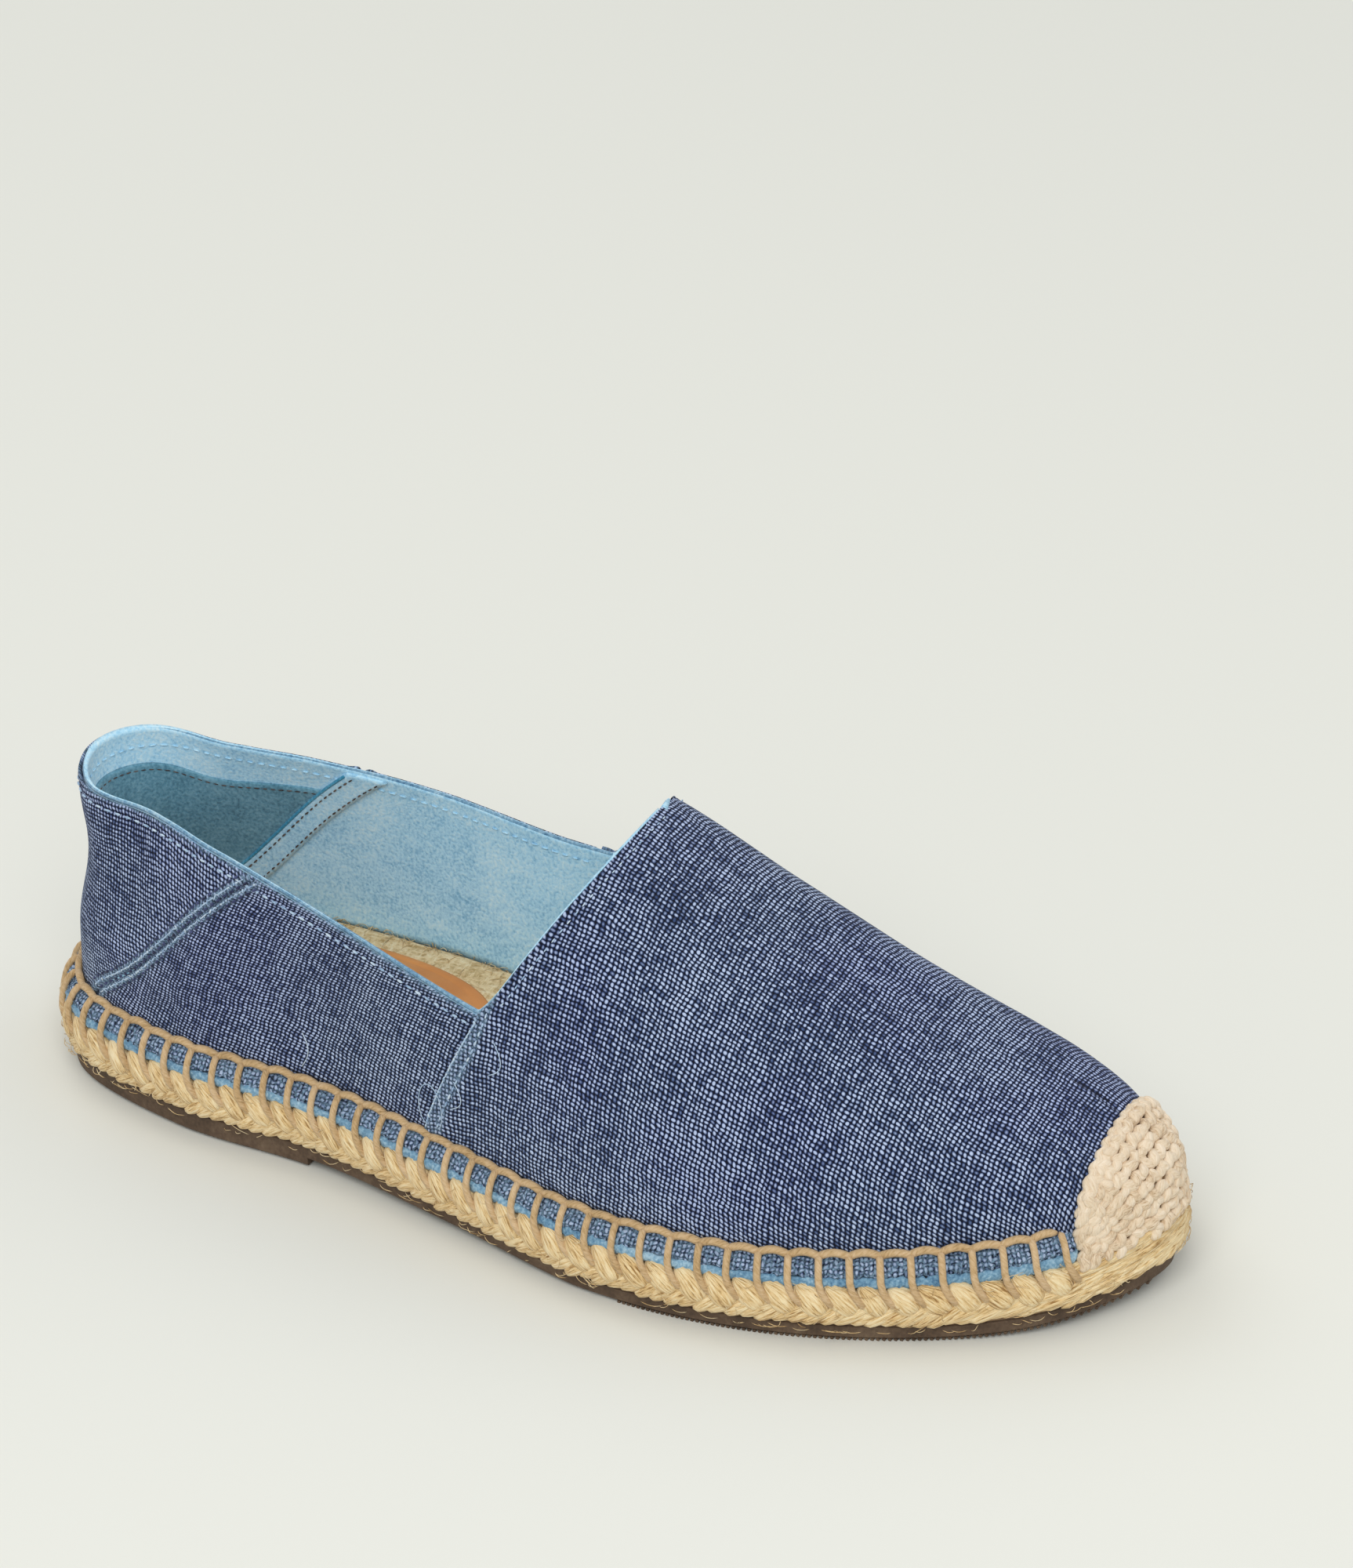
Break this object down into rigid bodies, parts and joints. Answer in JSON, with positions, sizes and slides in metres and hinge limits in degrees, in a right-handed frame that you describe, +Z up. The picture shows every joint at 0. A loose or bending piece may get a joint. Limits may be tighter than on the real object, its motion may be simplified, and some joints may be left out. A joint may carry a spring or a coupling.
{
  "type": "espadrille",
  "caption": "Flat slip-on espadrille, right shoe: lined canvas upper open at the collar, rope midsole, moulded rubber outsole, jute insole and a crocheted toe cap.",
  "frame": {"origin": "on the floor under the middle of the shoe's box, where heel block and forefoot stand", "axes": "+Z up from the floor, -Y towards the toe, -X towards the outer side of the right foot"},
  "size_m": [0.1036, 0.285, 0.0887],
  "materials": {
    "outsole_rubber": "moulded matt brown rubber with a finely serrated edge",
    "jute_rope": "plaited natural jute, fibrous and matt",
    "jute_cloth": "coarse brushed jute cloth",
    "canvas": "washed two-tone plain-weave canvas",
    "crochet_yarn": "crocheted cotton and jute yarn",
    "suede_lining": "brushed pale blue suede",
    "jute_thread": "twisted waxed jute thread",
    "sewing_thread": "spun cotton sewing thread",
    "patch_leather": "smooth tan vegetable-tanned leather, bare"
  },
  "bodies": {
    "root": {"outsole": "outsole_rubber", "midsole": "jute_rope", "insole": "jute_cloth", "upper": "canvas", "toe_cap": "crochet_yarn"}
  },
  "joints": []
}
